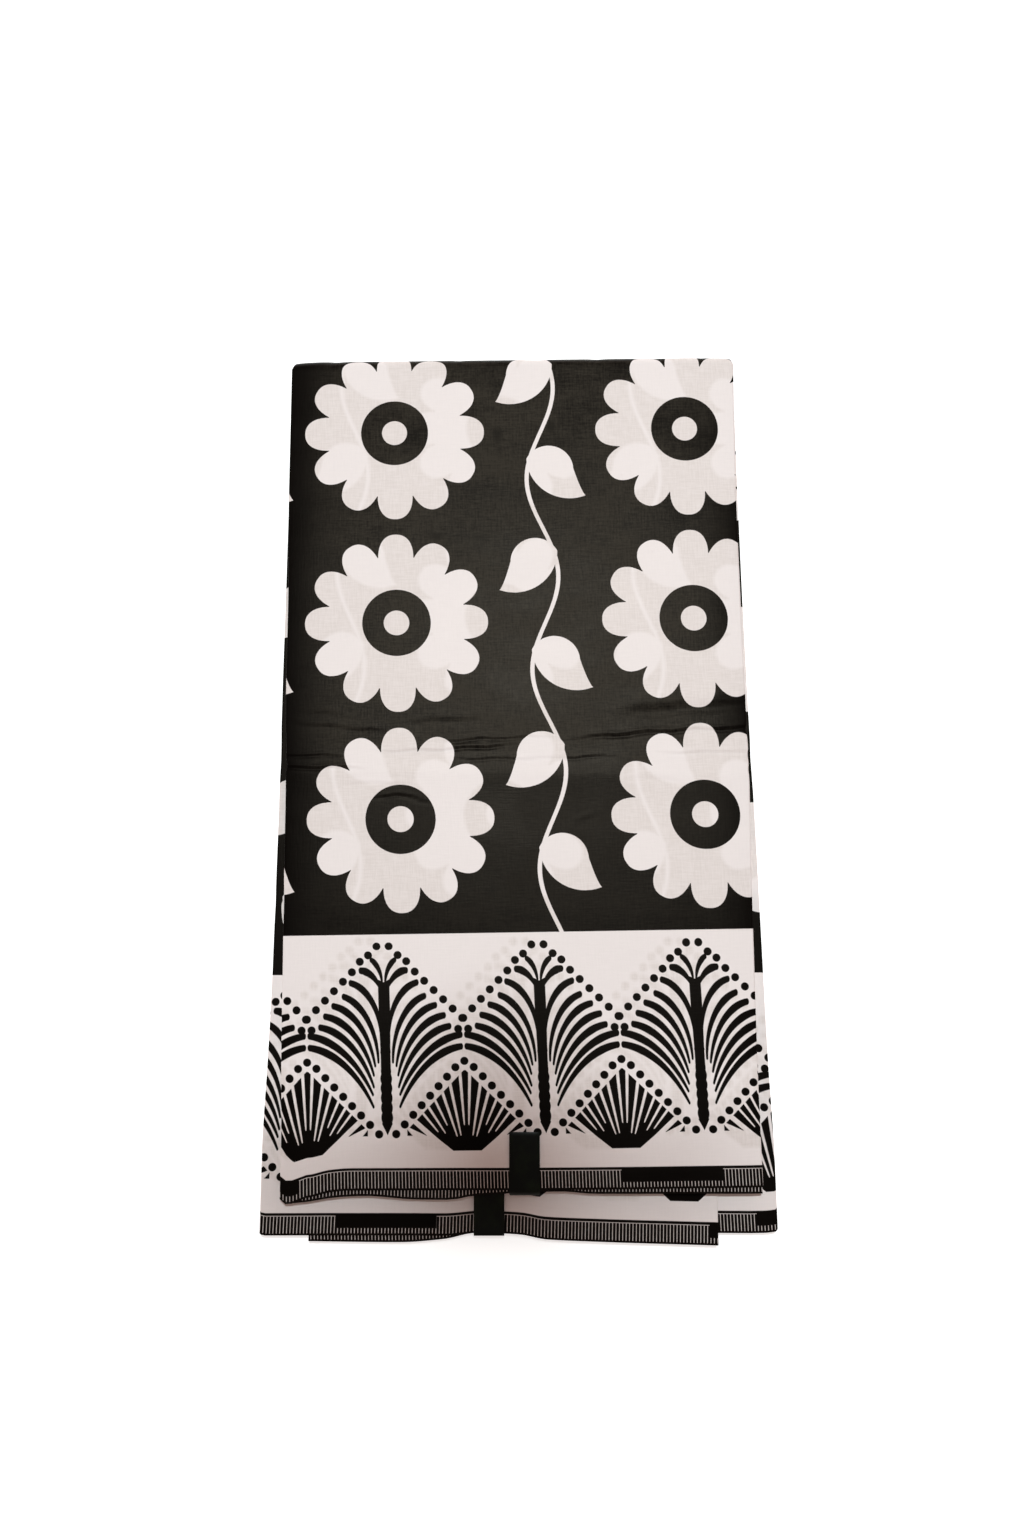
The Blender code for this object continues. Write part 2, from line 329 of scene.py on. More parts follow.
# Places along a run, from ranges of (start, end, spacing)
def rowsFrom(*ranges):
    places = [np.arange(start, end - spacing / 2, spacing) for start, end, spacing in ranges]
    return np.append(np.concatenate(places), ranges[-1][1])


# Where a leaf's columns stand across it, as shares of its width: closer at its side folds, even between them
def evenShares(width, spacing, edges=(0.0, 0.004, 0.012, 0.025)):
    count = round(0.9 * width / spacing) + 1
    middle = np.linspace(stack["roundedShare"], 1 - stack["roundedShare"], count)
    return [*edges, *middle, *(1 - edge for edge in reversed(edges))]


# Columns of one leaf: share of the width, shift in x, rise, and how much further along the cloth that is
# than x. A side that turns over towards the next leaf ends in a half round.
def leafColumns(shares, rise, turnTowards, leftTurn=0.0, rightTurn=0.0, turnSteps=6):
    columns = np.array([(share, 0.0, rise, 0.0) for share in shares]).T
    angle = np.linspace(0, math.pi, turnSteps + 1)
    for radius, share, way in ((leftTurn, 0.0, -1), (rightTurn, 1.0, 1)):
        turn = np.array([
            share + 0 * angle,
            -way * radius * (1 - np.sin(angle)),
            rise + turnTowards * radius * (1 - np.cos(angle)),
            way * radius * (angle - np.sin(angle)),
        ])
        if radius:
            columns = np.hstack([turn[:, ::-1], columns[:, 1:]] if way < 0 else [columns[:, :-1], turn])
    return columns


# One half of a leaf, from its selvedge to the thick fold: x, y, and the distance v from the selvedge.
# The cloth is even from the straight y on, and any swing of the selvedge away from it dies out further in.
def flatRun(leaf, half):
    share, shift = leaf["columns"][:2]
    rows, end, straight = leaf[half + "Rows"], smoothLine(leaf[half + "End"]), leaf[half + "Straight"]
    guideY = straight + rows[:, None] / rows[-1] * (foldLine[0][1] - halfHeight - straight)
    leftLine, rightLine = sideLines[half]
    inset = leaf.get("setback", 0.0)
    leftX = leaf.get("leftX", readLine(leftLine, guideY) + inset + edgeNotch("left", guideY))
    rightX = leaf.get("rightX", readLine(rightLine, guideY) - inset - edgeNotch("right", guideY))
    x = leftX + (rightX - leftX) * share + shift
    v = rows[:, None] / rows[-1] * (readLine(foldEdge, x) - halfHeight - straight)
    uneven = (readLine(end, x) - straight) * softened(1 - v / stack["droopReach"])
    return x, straight + v + uneven, v


def upperRun(leaf):
    share, _, rise, _ = leaf["columns"]
    x, y, v = flatRun(leaf, "upper")
    creased = creaseHeight(x, y) * (rise / halfHeight) ** 3
    lift = leaf["endLift"] * endWave(x) * softened(1 - v / stack["liftReach"])
    return x, y, halfHeight + rise * settling(share) * loft(y) + creased + lift, v


# The lower half of a leaf that goes round the thick fold. The outermost one lies flat on the floor.
def undersideRun(leaf):
    share, _, rise, _ = leaf["columns"]
    x, y, v = flatRun(leaf, "lower")
    creased = stack["undersideCreasing"] * np.abs(creaseHeight(-x, y)) * (rise / halfHeight) ** 2
    z = halfHeight - rise * settling(share) + creased
    return [part[::-1] for part in (x, y, z, stack["clothWidth"] - v)]


# A leaf of the lower half that shows: it sags onto what is below at its selvedge, and at its cut end
def innerRun(leaf):
    share, _, rise, _ = leaf["columns"]
    x, y, v = flatRun(leaf, "lower")
    sag = leaf["endSag"] * softened(1 - v / stack["sagReach"]) * (1 - stack["sagUnevenness"] * endWave(x))
    sag = np.maximum(sag, leaf["cutSag"] * softened(1 - (1 - share) * stack["cutSteepness"]))
    creased = stack["innerCreasing"] * creaseHeight(-x, y + stack["innerCreaseShift"])
    return x, y, halfHeight - rise - sag + creased, v


def bendRun(leaf, fromV, toV):
    share, shift, rise, _ = leaf["columns"]
    turned = np.arange(1, stack["bendSteps"])[:, None] / stack["bendSteps"]
    angle = math.pi * turned
    inset = leaf.get("setback", 0.0) + stack["cornerRounding"] * np.sin(angle)
    leftX = upperSides[-1][1] + (lowerSides[-1][1] - upperSides[-1][1]) * turned + inset
    rightX = upperSides[-1][2] + (lowerSides[-1][2] - upperSides[-1][2]) * turned - inset
    x = leftX + (rightX - leftX) * share + shift
    dents = sum(
        depth * np.exp(-((x - at - stack["dentWander"] * np.sin(2 * angle + 60 * at)) / half) ** 2)
        for at, depth, half in foldDents
    )
    reach = rise * settling(share) - dents * np.sin(angle) * (rise / halfHeight) ** 2
    centre = readLine(foldEdge, x) - halfHeight
    swell = 1 + (loft(centre) - 1) * np.cos(angle / 2) ** 2
    z = halfHeight + reach * swell * np.cos(angle)
    return x, centre + reach * np.sin(angle), z, fromV + (toV - fromV) * turned


def hairpinPlaces(leaf):  # a leaf that runs from one selvedge round the thick fold to the other
    upper, lower = upperRun(leaf), undersideRun(leaf)
    bend = bendRun(leaf, upper[3][-1], lower[3][0])
    return [np.concatenate(parts) for parts in zip(upper, bend, lower)]


# Makes a thin sheet over the places, with its own place on the flat cloth and that of the leaf beneath
def buildSheet(name, places, plan, beneath, leaf):
    x, y, z = places[:3]
    rows, columns = x.shape
    mesh = bpy.data.meshes.new(name)
    grid = np.arange(rows * columns).reshape(rows, columns)
    faces = np.stack([grid[:-1, :-1], grid[:-1, 1:], grid[1:, 1:], grid[1:, :-1]], -1).reshape(-1, 4)
    mesh.from_pydata(np.stack([x, y, z], -1).reshape(-1, 3).tolist(), [], faces.tolist())
    for mapName, flat in (("clothPlan", plan), ("clothBeneath", beneath)):
        corners = np.stack(flat, -1).reshape(-1, 2)[faces.reshape(-1)]
        mesh.uv_layers.new(name=mapName).data.foreach_set("uv", corners.astype(np.float32).reshape(-1))
    shifts = mesh.attributes.new("blockShift", "FLOAT", "POINT")
    shifts.data.foreach_set("value", np.full(rows * columns, leaf["blockShift"], np.float32))
    mesh.shade_smooth()
    sheet = bpy.data.objects.new(name, mesh)
    bpy.context.collection.objects.link(sheet)
    bpy.context.view_layer.objects.active = sheet
    wall = sheet.modifiers.new("wall", "SOLIDIFY")
    wall.thickness = leaf["thickness"]
    wall.offset = leaf.get("wallOffset", -1)
    wall.use_even_offset = True
    bpy.ops.object.modifier_apply(modifier=wall.name)
    return sheet


def readTable(table, v):
    return np.interp(v, *zip(*table))


# The print, in millimetres of flat cloth: u along the cloth's length and v in from the nearer selvedge.
# Each shape is a distance that is below zero inside it. From its other selvedge the cloth mirrors it.

cloth = {
    "width": 1170.0,
    "field": 164.5,  # where the dark field starts
    "inkEdge": 0.28,  # how soft an edge of the ink is, and how soft it looks through the leaf above
    "edgeBeneath": 2.4,
}
flower = {
    "u": -71.2,
    "v": 240.9,
    "pitchU": 203.4,
    "pitchV": 136.3,
    "lastRow": 2.0,
    "petals": 12,
    "petalFrom": 46.0,
    "petalLength": 16.6,
    "petalHalfWidth": 12.1,
    "petalFullness": 2.3,
    "discRadius": 47.6,
    "ringRadius": 16.1,
    "ringHalfWidth": 7.35,
}
vine = {
    "u": 30.5,
    "firstTip": 193.95,
    "belowTip": 17.0,  # how far before its tip a leaf's stretch of the stem starts
    "leftLeafRise": 0.75,  # how much further in the left leaves are than the mean of both
    "leafPitch": 68.15,
    "tipAcross": 31.0,
    # The two rounds that a leaf lies in, set out from its tip: across, up, radius
    "belly": (-11.0, 28.0, 29.8),
    "shoulder": (-25.5, 19.5, 17.2),
    "pointLength": 20.8,
    "pointWidth": 8.5,
    "pointCurve": 0.7,
    "swing": 10.0,
    "swingFrom": 205.0,
    "stemHalfWidth": 1.45,
}
border = {
    "sprayU": -84.6,
    "pitch": 101.7,
    "dotRadius": 2.65,
    # Dots in a slanting row: place of the first, across and v, steps of both, number of the last one
    "sprayDots": (20.55, 139.9, 5.99, -6.06, 5.0),
    "sprayTopDots": ((4.0, 156.7), (9.7, 150.8), (15.2, 146.7)),
    "fanDots": (5.95, 78.1, 5.63, -6.0, 7.0),
    "fanTopDots": ((0.0, 82.1), (3.25, 102.6)),
    # A spray's stem: v and half width low down, and high up. Its beaded foot: v and depth, likewise.
    "stemWidths": (88.0, 3.2, 113.0, 3.75),
    "beads": (72.0, 0.6, 78.0, 0.0),
    "beadPitch": 6.2,
    # Where it ends: v on the axis, and the slope of the end
    "stemTop": (133.2, 0.5),
    "stemFoot": (35.4, 0.48),
    "frondHalfWidth": 1.75,
    "frondTip": (0.77, 0.9),  # share of the half width at the tip, and how fast it grows to all of it
    "rootTaper": 2.3,
    "budHalfWidth": 1.5,  # the small pair at a spray's top is thinner
    "rootHalfWidth": 0.7,
    "frondStretch": 1.6,  # a frond's arc is this much longer than it is wide
    "slitWidening": (0.25, 0.13),  # a slit's half width at its inner end, and how it grows outwards
    "fanFocus": 14.0,
    "fanFoot": 25.1,
    "footHalfWidth": 9.0,
    "footSpread": 1.23,
    "bladesFrom": 34.9,  # v where the blades stand clear of the foot
    "bladesEven": 39.5,  # v where the outer gaps have their own width
    "fanTop": 76.2,
    "fanShoulder": 76.8,  # the sum of v and the distance from the axis
    "fanHalfWidth": 38.2,
}
# Fronds of a spray, from its tip, through its bend, to its root: how far each is from the axis, and its v
fronds = (
    ((7.7, 147.7), (3.9, 143.4), (1.1, 134.0)),
    ((14.9, 140.8), (7.1, 137.0), (2.4, 129.5)),
    ((21.6, 132.8), (7.5, 119.8), (2.7, 88.0)),
    ((26.3, 124.0), (10.0, 107.0), (4.7, 82.0)),
    ((33.2, 118.0), (13.6, 100.8), (6.9, 79.6)),
    ((38.7, 111.4), (16.5, 94.5), (7.9, 73.6)),
    ((42.0, 104.4), (18.7, 88.0), (8.1, 66.1)),
    ((49.1, 98.9), (21.4, 81.9), (8.8, 61.2)),
    ((49.1, 91.4), (22.3, 75.5), (8.6, 53.4)),
)
# Slits of a fan: the angle from its axis in degrees, and how far from the focus each one stops
fanSlits = ((3.0, 27.5), (10.4, 21.2), (17.2, 21.2), (24.6, 30.1), (31.8, 26.3), (38.5, 29.7))
# The outer gaps run right through: angle, half width, and how much wider they are at the bottom
fanGaps = ((48.0, 1.6, 0.0), (55.6, 0.8, 1.6))
selvedge = {
    "band": 13.7,
    "line": 11.85,
    "lineHalfWidth": 0.14,
    "tickPitch": 2.17,
    "tickHalfWidth": 0.18,
    "tickFrom": 1.3,
    "shortTick": 4.4,
    "blocksEvery": 508.5,  # two bare dark blocks come round at this distance
    "longBlock": (96.5, 32.5),
    "otherBlock": (335.2, 31.75),
}


def flowerShape():
    across = repeated("u", flower["u"], flower["pitchU"])
    row = nearestStep("v", flower["v"], flower["pitchV"], flower["lastRow"])
    up = pastStep("v", flower["v"], flower["pitchV"], row)
    radius = farFrom(across, up)
    around = repeated(("ARCTAN2", up, across), 0.0, math.tau / flower["petals"])
    along = ("-", ("*", radius, ("COSINE", around)), flower["petalFrom"])
    along = ("/", ("MAXIMUM", along, 0.0), flower["petalLength"])
    aside = ("/", ("ABSOLUTE", ("*", radius, ("SINE", around))), flower["petalHalfWidth"])
    fullness = flower["petalFullness"]
    petal = ("ADD", ("POWER", along, fullness), ("POWER", aside, fullness))
    petal = ("*", ("-", petal, 1.0), 6.0)  # about a distance in millimetres near the edge
    blossom = anyOf(petal, ("-", radius, flower["discRadius"]))
    return allOf(blossom, outside(bandAround(radius, flower["ringRadius"], flower["ringHalfWidth"])))


# A waving stem, with pointed leaves to its right and left in turn. A leaf is drawn from its tip.
def vineShape():
    across = repeated("u", vine["u"], flower["pitchU"])
    before = ("-", "v", vine["firstTip"] - vine["belowTip"])
    cell = ("FLOOR", ("/", before, vine["leafPitch"]))
    side = ("*+", ("FLOORED_MODULO", cell, 2.0), -2.0, 1.0)
    up = pastStep("v", vine["firstTip"], vine["leafPitch"], cell)
    up = ("*+", side, vine["leftLeafRise"], up)
    toTip = ("-", ("*", across, side), vine["tipAcross"])
    belly = disc(toTip, up, *vine["belly"])
    shoulder = disc(toTip, up, *vine["shoulder"])
    taper = ("POWER", ("/", ("MAXIMUM", up, 0.0), vine["pointLength"]), vine["pointCurve"])
    point = allOf(("*+", taper, vine["pointWidth"], toTip), ("-", up, vine["pointLength"]))
    leaf = allOf(belly, anyOf(shoulder, point))
    turn = ("*", ("-", "v", vine["swingFrom"]), math.tau / flower["pitchV"])
    middle = ("*", ("COSINE", turn), -vine["swing"])
    return anyOf(leaf, bandAround(across, middle, vine["stemHalfWidth"]))


# A long arc through three places, rounded at its tip, thickest near it, and narrow at its root
def frondShape(across, tip, bend, root, halfWidth):
    places = np.array([(x, y / border["frondStretch"]) for x, y in (tip, bend, root)])
    squares = (places * places).sum(axis=1)
    centreX, centreY = np.linalg.solve(2 * (places[1:] - places[0]), squares[1:] - squares[0])
    radius = math.dist(places[0], (centreX, centreY))
    tipAngle, rootAngle = (math.atan2(centreX - x, y - centreY) for x, y in places[::2])
    fromCentre = ("-", centreX, across)
    up = ("-", ("/", "v", border["frondStretch"]), centreY)
    along = ("-", ("ARCTAN2", fromCentre, up), tipAngle)
    within = clamped(along, 0.0, rootAngle - tipAngle)
    off = ("-", farFrom(fromCentre, up), radius)
    past = ("*", ("-", along, within), radius)
    share = ("/", within, rootAngle - tipAngle)
    atTip, growth = border["frondTip"]
    widening = ("*+", share, growth * halfWidth, atTip * halfWidth)
    taper = ("POWER", share, border["rootTaper"])
    narrowing = ("*+", taper, border["rootHalfWidth"] - halfWidth, halfWidth)
    return ("-", farFrom(off, past), ("MINIMUM", widening, narrowing))


# A slanting row of dots, and the single ones above it
def dotShapes(across, row, others):
    firstAcross, firstV, pitchAcross, pitchV, last = row
    step = nearestStep(across, firstAcross, pitchAcross, last)
    nearest = farFrom(pastStep(across, firstAcross, pitchAcross, step), pastStep("v", firstV, pitchV, step))
    radius = border["dotRadius"]
    return [("-", nearest, radius)] + [disc(across, "v", *place, radius) for place in others]


def sprayShape(across):
    beads = ("ABSOLUTE", ("SINE", ("*", "v", math.pi / border["beadPitch"])))
    beads = ("*", beads, between("v", *border["beads"]))
    (top, topSlope), (foot, footSlope) = border["stemTop"], border["stemFoot"]
    stem = allOf(
        ("-", ("-", across, between("v", *border["stemWidths"])), beads),
        ("-", ("-", "v", top), ("*", across, topSlope)),
        ("-", across, ("*", ("-", "v", foot), footSlope)),
    )
    dots = dotShapes(across, border["sprayDots"], border["sprayTopDots"])
    bud = frondShape(across, *fronds[0], border["budHalfWidth"])
    branches = [frondShape(across, *frond, border["frondHalfWidth"]) for frond in fronds[1:]]
    return anyOf(stem, *dots, bud, *branches)


# Blades spread from one point, parted by slits that stop unevenly above a solid foot
def fanShape(across):
    up = ("-", "v", border["fanFocus"])
    reach = farFrom(across, up)
    angle = ("ARCTAN2", across, up)

    def aside(degrees):
        return ("*", ("-", angle, math.radians(degrees)), reach)

    openings = []
    narrow, growth = border["slitWidening"]
    for degrees, end in fanSlits:
        beyond = ("-", reach, end)
        halfWidth = ("*+", ("POWER", ("MAXIMUM", beyond, 0.0), 0.5), growth, narrow)
        openings.append(("-", farFrom(aside(degrees), ("MINIMUM", beyond, 0.0)), halfWidth))
    for degrees, halfWidth, widening in fanGaps:
        wide = between("v", border["bladesFrom"], halfWidth + widening, border["bladesEven"], halfWidth)
        openings.append(("-", ("ABSOLUTE", aside(degrees)), wide))
    aboveFoot = ("-", "v", border["fanFoot"])
    foot = ("-", across, ("*+", aboveFoot, border["footSpread"], border["footHalfWidth"]))
    fan = allOf(
        ("*", ("ADD", ("-", "v", border["fanShoulder"]), across), 0.7),
        ("-", "v", border["fanTop"]),
        ("-", across, border["fanHalfWidth"]),
        ("-", border["fanFoot"], "v"),
        anyOf(("*", foot, 0.6), ("-", border["bladesFrom"], "v")),
        outside(anyOf(*openings)),
    )
    return anyOf(fan, *dotShapes(across, border["fanDots"], border["fanTopDots"]))


# The woven edge: a thin line and a row of ticks on the dark band, with bare dark blocks among the ticks
def selvedgeShape():
    blocks = anyOf(*(
        bandAround(repeated("blockU", centre, selvedge["blocksEvery"]), 0.0, half)
        for centre, half in (selvedge["longBlock"], selvedge["otherBlock"])
    ))
    line = allOf(bandAround("v", selvedge["line"], selvedge["lineHalfWidth"]), outside(blocks))
    tick = allOf(
        bandAround(repeated("u", 0.0, selvedge["tickPitch"]), 0.0, selvedge["tickHalfWidth"]),
        ("-", "v", selvedge["line"]),
        ("-", selvedge["tickFrom"], "v"),
        anyOf(("-", "v", selvedge["shortTick"]), outside(blocks)),
    )
    return allOf(("-", "v", selvedge["band"]), outside(anyOf(line, tick)))


# The whole print as one group: how much ink is at a place of the cloth, given in metres, and whether it is
# in the field, where the ink lies thinner on the threads and the field's sheen is painted
def makePrint():
    group = bpy.data.node_groups.new("waxPrint", "ShaderNodeTree")
    entries = ("metresU", "metresV", "blockShift", "edge")
    for name in entries:
        group.interface.new_socket(name=name, in_out="INPUT", socket_type="NodeSocketFloat")
    for name in ("ink", "inField"):
        group.interface.new_socket(name=name, in_out="OUTPUT", socket_type="NodeSocketFloat")
    entry = group.nodes.new("NodeGroupInput").outputs
    known = {name: entry[name] for name in entries}
    half = cloth["width"] / 2
    known["u"] = addFormula(group, known, ("*", "metresU", 1000.0))
    fromFold = ("ABSOLUTE", ("*+", "metresV", 1000.0, -half))
    known["v"] = addFormula(group, known, ("-", half, fromFold))
    known["blockU"] = addFormula(group, known, ("-", "u", "blockShift"))
    toAxis = ("ABSOLUTE", repeated("u", border["sprayU"], border["pitch"]))
    field = allOf(("-", cloth["field"], "v"), outside(anyOf(flowerShape(), vineShape())))
    fan = fanShape(("-", border["pitch"] / 2, toAxis))
    shape = anyOf(selvedgeShape(), sprayShape(toAxis), fan, field)
    ink = addFormula(group, known, clamped(("-", 0.5, ("/", shape, "edge")), 0.0, 1.0))
    inField = addFormula(group, known, between("v", cloth["field"] - 1.0, 0.0, cloth["field"], 1.0))
    setNode(group.nodes.new("NodeGroupOutput"), {"ink": ink, "inField": inField})
    return group


waxPrint = makePrint()
print("Print drawn with", len(waxPrint.nodes), "nodes")


# Cotton, woven plain from fine thread, waxed, dyed on both faces and calendered: a soft, slightly polished
# surface whose threads show as fine slubs, with a faint view of the leaf beneath through its undyed parts.

cotton = {
    "white": "#EFE6E4",
    "whiteOverInk": "#E2D8D4",
    "ink": "#040303",
    # Paler worn ink, also used as painted sheen where the field is painted palest
    "wornAndSheenInk": "#2F2B25",  # on the threads of the field
    "roughness": (0.3, 0.35, 0.7, 0.47),  # the patches' noise and the roughness there, twice
    "gloss": 0.065,
    "glossTint": (1.0, 0.82, 0.66, 1.0),
    "threadPitch": 0.0011,  # real threads are 0.3 mm apart, too fine to show, so these are drawn coarser
    "slubLength": 0.011,
    "slubDepth": 0.00006,
    "slubStrength": 0.8,
    # Between threads, and on them: the weave's height, with the tone, which is painted shade darker between
    # the threads, or how much of the leaf beneath shows
    "threadShade": (0.7, 0.982, 1.3, 1.01),
    "showsThrough": (0.75, 1.0, 1.25, 0.58),
    "speckle": 0.0016,
    "wornPatch": (0.045, 0.022),  # along the cloth's length and across it
    # Painted sheen on the field's ink, as a share of the paler worn ink: y or distance from the middle, and
    # its share there, twice
    "sheenBeyondCrease": (0.01, 0.30, 0.028, 0.90),
    "sheenToSides": (0.118, 1.0, 0.152, 0.0),
    "sheenWander": 0.03,  # how far its patches shift the first of these
    # Small bruises in the field: x, y, half length and half width
    "bruises": (
        (-0.0566, 0.1678, 0.0085, 0.0036),
        (-0.0275, 0.1655, 0.0095, 0.0038),
        (-0.015, 0.242, 0.0045, 0.0075),
        (0.0218, 0.2475, 0.004, 0.006),
    ),
    "bruiseShares": (0.3, 0.35, 1.0, 1.0),  # distance from a bruise's middle and the wear there, twice
    "bruiseWander": 0.012,
}


def makeCotton():
    material, shader = newMaterial("waxPrintedCotton")
    tree = material.node_tree

    # The print of this leaf and that of the one beneath
    prints, plans = [], []
    shift = addNode(tree, "Attribute", {"attribute_name": "blockShift"}).outputs["Fac"]
    for mapName, edge in (("clothPlan", cloth["inkEdge"]), ("clothBeneath", cloth["edgeBeneath"])):
        plan = addNode(tree, "UVMap", {"uv_map": mapName}).outputs["UV"]
        flat = addNode(tree, "SeparateXYZ", {"Vector": plan}).outputs
        prints.append(addNode(tree, "Group", {
            "node_tree": waxPrint, "edge": edge, "blockShift": shift,
            "metresU": flat["X"], "metresV": flat["Y"],
        }).outputs)
        plans.append(plan)

    # Threads both ways, patches of wear and fine speckle
    fine, coarse = 1 / cotton["threadPitch"], 1 / cotton["slubLength"]
    threads = []
    for scale in ((fine, coarse, 1.0), (coarse, fine, 1.0)):
        stretched = addNode(tree, "Mapping", {"Scale": scale, "Vector": plans[0]}).outputs[0]
        threads.append(addNode(tree, "TexNoise", {
            "noise_dimensions": "2D", "Scale": 1.0, "Detail": 2.0, "Roughness": 0.6, "Vector": stretched,
        }).outputs["Fac"])
    weave = addNode(tree, "Math", {"operation": "ADD", 0: threads[0], 1: threads[1]}).outputs[0]
    place = addNode(tree, "TexCoord", {}).outputs["Object"]
    along, across = cotton["wornPatch"]
    scale = (1 / along, 1 / across, 1 / across)
    streaked = addNode(tree, "Mapping", {"Scale": scale, "Vector": place}).outputs[0]
    patches = addNode(tree, "TexNoise", {
        "Scale": 1.0, "Detail": 4.0, "Roughness": 0.6, "Vector": streaked,
    }).outputs["Fac"]
    speckle = addNode(tree, "TexNoise", {
        "Scale": 1 / cotton["speckle"], "Detail": 1.0, "Vector": place,
    }).outputs["Fac"]
    spot = addNode(tree, "SeparateXYZ", {"Vector": place}).outputs
    known = {
        "weave": weave, "patches": patches, "speckle": speckle, "x": spot["X"], "y": spot["Y"],
        "beneath": prints[1]["ink"], "inField": prints[0]["inField"],
    }

    # The undyed ground
    colours = {name: hexToLinear(cotton[name]) for name in ("white", "whiteOverInk", "ink", "wornAndSheenInk")}
    through = addFormula(tree, known, ("*", "beneath", between("weave", *cotton["showsThrough"])))
    ground = addNode(tree, "Mix", {
        "data_type": "RGBA", 0: through, 6: colours["white"], 7: colours["whiteOverInk"],
    }).outputs[2]
    # Painted shade between the threads: the ground is darker where the weave is low
    threadShading = addFormula(tree, known, between("weave", *cotton["threadShade"]))
    threadShadedGround = addNode(tree, "Mix", {
        "data_type": "RGBA", "blend_type": "MULTIPLY", 0: 1.0, 6: ground, 7: threadShading,
    }).outputs[2]

    # Worn ink, with painted sheen. The first sum has a mean of 2.45 and keeps within 0.5 of that. The
    # field's ink is painted palest, as painted sheen, away from its side folds and beyond the crease that
    # crosses it.
    wear = ("*+", "patches", 2.2, ("*+", "speckle", 0.7, "weave"))
    wear = clamped(("-", wear, 1.95), 0.0, 1.0)
    beyond = between(("*+", "patches", cotton["sheenWander"], "y"), *cotton["sheenBeyondCrease"])
    sheenAndBruiseShare = ("*", beyond, between(("ABSOLUTE", "x"), *cotton["sheenToSides"]))
    wander = cotton["bruiseWander"]
    bruiseY = ("*+", "patches", wander, "y")
    for x, y, halfLength, halfWidth in cotton["bruises"]:
        off = farFrom(("/", ("-", "x", x), halfLength), ("/", ("-", bruiseY, y + wander / 2), halfWidth))
        sheenAndBruiseShare = ("*", sheenAndBruiseShare, between(off, *cotton["bruiseShares"]))
    wornAndSheenShare = addFormula(tree, known, ("*", ("*", wear, sheenAndBruiseShare), "inField"))
    ink = addNode(tree, "Mix", {
        "data_type": "RGBA", 0: wornAndSheenShare, 6: colours["ink"], 7: colours["wornAndSheenInk"],
    }).outputs[2]
    dyed = addNode(tree, "Mix", {
        "data_type": "RGBA", 0: prints[0]["ink"], 6: threadShadedGround, 7: ink,
    }).outputs[2]

    # The calendered surface
    bump = addNode(tree, "Bump", {
        "Strength": cotton["slubStrength"], "Distance": cotton["slubDepth"], "Height": weave,
    }).outputs[0]
    setNode(shader, {
        "Base Color": dyed,
        "Roughness": addFormula(tree, known, between("patches", *cotton["roughness"])),
        "Normal": bump,
        "Specular IOR Level": cotton["gloss"],
        "Specular Tint": cotton["glossTint"],
    })
    return material


printedCotton = makeCotton()
print("Cotton made")


# The leaves

def finishSheet(sheet, node):
    sheet.data.materials.append(printedCotton)
    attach(sheet, "root")
    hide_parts(node)
    print("Made", sheet.name, "with", len(sheet.data.polygons), "faces")


underside = {  # the flat lower half of the two outer leaves
    "lowerEnd": ((-0.1655, -0.2935), (0.165, -0.2905)),
    "lowerStraight": -0.292,
    "lowerRows": rowsFrom((0.0, 0.03, 0.005), (0.03, 0.54, 0.017), (0.54, 0.585, 0.009)),
}

# Each end is a selvedge, x and y along it, with the y where it runs straight. Then, how the print lies.
# Lean: v, and what is added to x to give u. Stretch: v, and how far the cloth there has been pulled ahead.
# Askew: v, and the slope of the print's rows across the leaf.
outer = {
    "columns": leafColumns(evenShares(0.314, 0.0036), rise=halfHeight, turnTowards=-1, leftTurn=0.00045),
    "upperEnd": (
        (-0.1527, -0.2728), (-0.1472, -0.2764), (-0.1406, -0.2724), (-0.1335, -0.2716), (-0.1218, -0.2686),
        (-0.108, -0.2674), (0.018, -0.267), (0.1548, -0.2655),
    ),
    "upperStraight": -0.267,
    "upperRows": rowsFrom(
        (0.0, 0.03, 0.0025), (0.03, 0.237, 0.0055), (0.237, 0.318, 0.0008), (0.318, 0.53, 0.0055),
        (0.53, 0.56, 0.003),
    ),
    **underside,
    "thickness": 0.0004,
    "endLift": 0.0009,
    "lean": (
        (0.0, -0.0015), (0.0365, 0.0), (0.135, 0.0043), (0.156, 0.0053), (0.24, 0.008), (0.376, 0.0127),
        (0.513, 0.016), (0.585, 0.0175), (1.17, 0.0315),
    ),
    "stretch": (
        (0.0137, 0.0), (0.082, 0.0012), (0.156, 0.0017), (0.166, 0.0013), (0.241, 0.00155), (0.377, 0.0029),
        (0.513, 0.0019), (0.585, 0.0017), (1.0, 0.0),
    ),
    "askew": ((0.0137, 0.0), (0.024, 0.0115), (0.15, 0.0115), (0.166, 0.0165), (0.585, 0.0165), (1.0, 0.0)),
    "levelX": 0.03,
    "blockShift": 0.0,
}
second = {
    "columns": leafColumns(evenShares(0.313, 0.007), rise=0.0075, turnTowards=-1, rightTurn=0.0004),
    "upperEnd": (
        (-0.152, -0.271), (-0.143, -0.2756), (-0.1337, -0.2742), (-0.116, -0.2716), (-0.098, -0.2708),
        (-0.0656, -0.273), (-0.045, -0.2732), (-0.028, -0.2705), (0.028, -0.2681), (0.0477, -0.2695),
        (0.1537, -0.2695),
    ),
    "upperStraight": -0.2695,
    "upperRows": rowsFrom(
        (0.0, 0.03, 0.0025), (0.03, 0.24, 0.01), (0.24, 0.315, 0.001), (0.315, 0.56, 0.012)
    ),
    **underside,
    "thickness": 0.0004,
    "endLift": 0.0005,
    "setback": 0.0004,
    "leftShift": 0.00015,  # how much further in its plain left edge stands
    "turnedAt": -0.288,  # its print runs the other way: u is this, less x
    "beneathAt": 0.135,
    "blockShift": 100.0,
}


